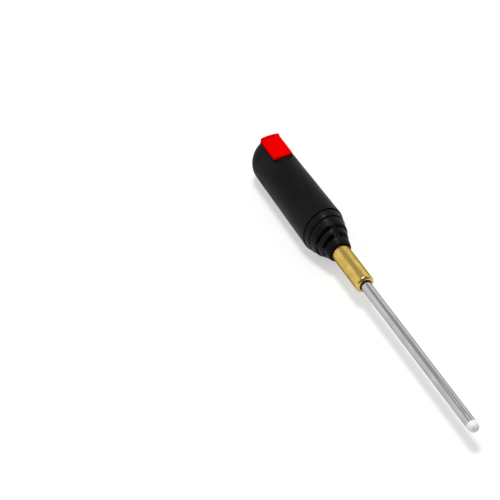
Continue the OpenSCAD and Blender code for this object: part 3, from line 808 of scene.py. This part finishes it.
def button_coil():
    """The spring under the button: a wire wound three turns, rising evenly from just over the
    well's floor to just under the button, each end closed in a pole."""
    wire_r, coil_r, gap, rows, columns = 0.25, 2.2, 0.03, 109, 12
    foot = WELL_FLOOR + wire_r + gap
    rise = UNDERSIDE - gap - wire_r - foot
    share = np.concatenate([[0], np.linspace(0, 1, rows), [1]])[:, None]
    wire = np.concatenate([[0], np.full(rows, wire_r), [0]])[:, None]
    turn = 6 * np.pi * share
    around = np.linspace(0, 2 * np.pi, columns, endpoint=False)[None, :]
    out = coil_r + wire * np.cos(around)
    z = foot + rise * share + wire * np.sin(around)
    points = np.stack([out * np.cos(turn) + BUTTON_X, out * np.sin(turn), z], -1)
    return points.reshape(-1, 3), cell_faces(rows + 2, columns, False, True)


def button_pedestal():
    """The fixed block under the button: its outline up to the top with a small round at the top
    edge, then the spring's well and the stem's hole."""
    edge, well_r, hole_r = 0.25, 3.0, 1.45
    full = outline(*SEAT_HALF)
    layers = [(disc(hole_r, SEAT_HALF), SEAT_LOW)]
    layers += [(full, z) for z in (SEAT_LOW, 13.0, 13.6, 14.4, 15.2, 15.5)]
    for a in np.linspace(0, np.pi / 2, 5):
        loop = drawn_in(SEAT_HALF, edge * (1 - math.cos(a)))
        layers.append((loop, SEAT_TOP - edge * (1 - math.sin(a))))
    well = [(well_r + 0.1, SEAT_TOP), (well_r, SEAT_TOP - 0.1), (well_r, WELL_FLOOR),
            (hole_r, WELL_FLOOR)]
    layers += [(disc(radius, SEAT_HALF), z) for radius, z in well]
    return stacked(layers, BUTTON_X, True)


piece("red_thumb_button", thumb_button(), "button_red", "button", ["thumb_button"])
coil = piece("button_return_spring", button_coil(), "spring_steel", "housing", ["button_spring"])
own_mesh(coil)
piece("button_seat", button_pedestal(), "nose_black", "housing", ["button_pedestal"])


# --- Stage, light and camera -------------------------------------------------

FLOOR_HALF = 3.0
FLOOR_DROP = 0.00002  # keeps the floor clear of the belly's flat
SKY_STOPS = ((0.0, 0.75), (0.18, 1.0), (0.64, 1.0), (0.72, 0.4), (0.85, 0.4), (1.0, 0.9))

floor_mesh = bpy.data.meshes.new("floor")
corners = [(x * FLOOR_HALF, y * FLOOR_HALF, 0) for x, y in ((-1, -1), (1, -1), (1, 1), (-1, 1))]
floor_mesh.from_pydata(corners, [], [(0, 1, 2, 3)])
floor = bpy.data.objects.new("floor", floor_mesh)
bpy.context.scene.collection.objects.link(floor)
floor.location.z = -FLOOR_DROP
paper = bpy.data.materials.new("white_paper")
paper.use_nodes = True
put(paper.node_tree.nodes["Principled BSDF"], {
    "Base Color": (0.45, 0.45, 0.45, 1),
    "Emission Color": (1.0, 1.0, 1.0, 1),
    "Emission Strength": 0.5,
    "Roughness": 0.9,
    "Specular IOR Level": 0.1,
})
floor_mesh.materials.append(paper)

# The sky's tone goes by height, and its strength falls from the rear to the front of the probe.
world = bpy.data.worlds.new("studio")
bpy.context.scene.world = world
world.use_nodes = True
sky = world.node_tree
direction = add(sky, "ShaderNodeTexCoord").outputs["Generated"]
parts = add(sky, "ShaderNodeSeparateXYZ", Vector=direction)
ramp = add(sky, "ShaderNodeValToRGB", Fac=parts.outputs["Z"])
stops = ramp.color_ramp.elements
for height, _ in SKY_STOPS[1:-1]:
    stops.new(height)
for stop, (height, tone) in zip(stops, SKY_STOPS):
    stop.position = height
    stop.color = (tone, tone, tone, 1)
background = sky.nodes["Background"]
sky.links.new(ramp.outputs["Color"], background.inputs["Color"])
strength = span_map(sky, parts.outputs["X"], -0.3, 0.6, 1.1, 0.2)
sky.links.new(strength, background.inputs["Strength"])

# One square softbox high above the barrel, looking at the middle of the probe.
softbox = bpy.data.lights.new("key_softbox", "AREA")
softbox.shape = "RECTANGLE"
softbox.size = softbox.size_y = 0.45
softbox.energy = 27.0
key = bpy.data.objects.new("key_softbox", softbox)
key.location = (-0.28, -0.03, 1.95)
key.rotation_euler = (-key.location).to_track_quat("-Z", "Y").to_euler()
bpy.context.scene.collection.objects.link(key)
bpy.context.scene.view_settings.view_transform = "Standard"

# The camera's axes, and its place from the shoulder's station.
RIGHT = Vector((0.4404, 0.8978, 0.0))
UP = Vector((-0.6168, 0.3026, 0.7267))
FORWARD = Vector((-0.6524, 0.3200, -0.6870))
CAMERA_PLACE = (SHOULDER_X + 0.8284, -0.4586, 0.8918)
camera_data = bpy.data.cameras.new("camera")
camera_data.lens = 144.9
camera_data.sensor_width = 36.0
camera_data.clip_start, camera_data.clip_end = 0.01, 20.0
camera = bpy.data.objects.new("camera", camera_data)
camera_axes = Matrix((RIGHT, UP, -FORWARD)).transposed()
camera.matrix_world = Matrix.Translation(CAMERA_PLACE) @ camera_axes.to_4x4()
bpy.context.scene.collection.objects.link(camera)
bpy.context.scene.camera = camera
